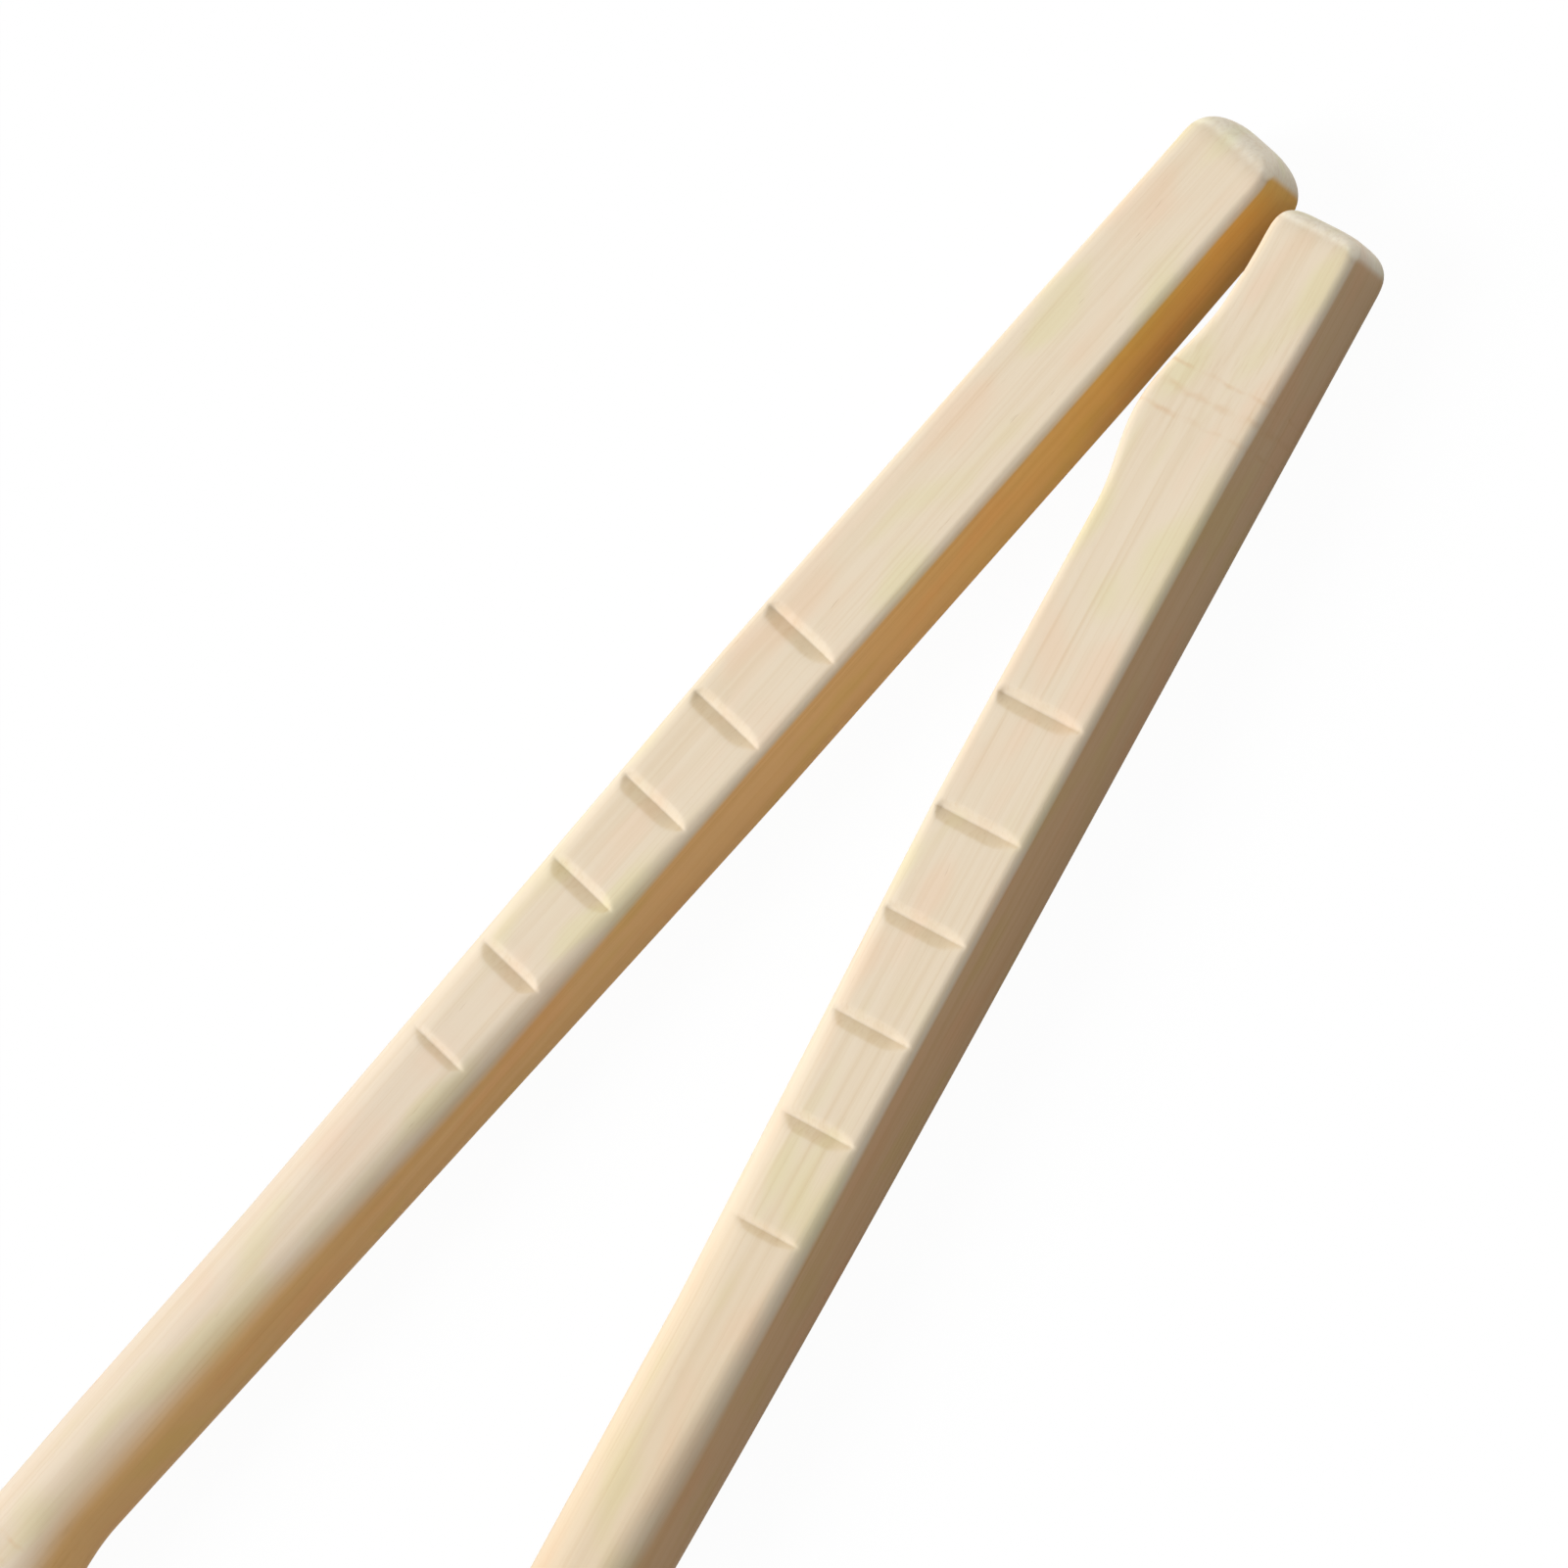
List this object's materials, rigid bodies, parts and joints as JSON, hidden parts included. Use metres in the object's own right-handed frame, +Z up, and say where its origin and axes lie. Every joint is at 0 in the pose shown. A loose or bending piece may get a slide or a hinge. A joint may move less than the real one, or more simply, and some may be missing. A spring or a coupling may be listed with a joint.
{
  "type": "pair of chopsticks",
  "caption": "Pair of bamboo chopsticks lying in a narrow V, with square grooved handles, round tapered tips and bamboo nodes.",
  "frame": {"origin": "bottom centre of the pair's bounding box, on the surface that both sticks lie on", "axes": "+X towards the handle ends, along the middle of the V; +Y towards the left chopstick; +Z up"},
  "size_m": [0.2404, 0.0708, 0.008],
  "materials": {
    "bamboo": "sanded, unlacquered"
  },
  "bodies": {
    "root": {"left_chopstick": "bamboo", "right_chopstick": "bamboo"}
  },
  "joints": []
}
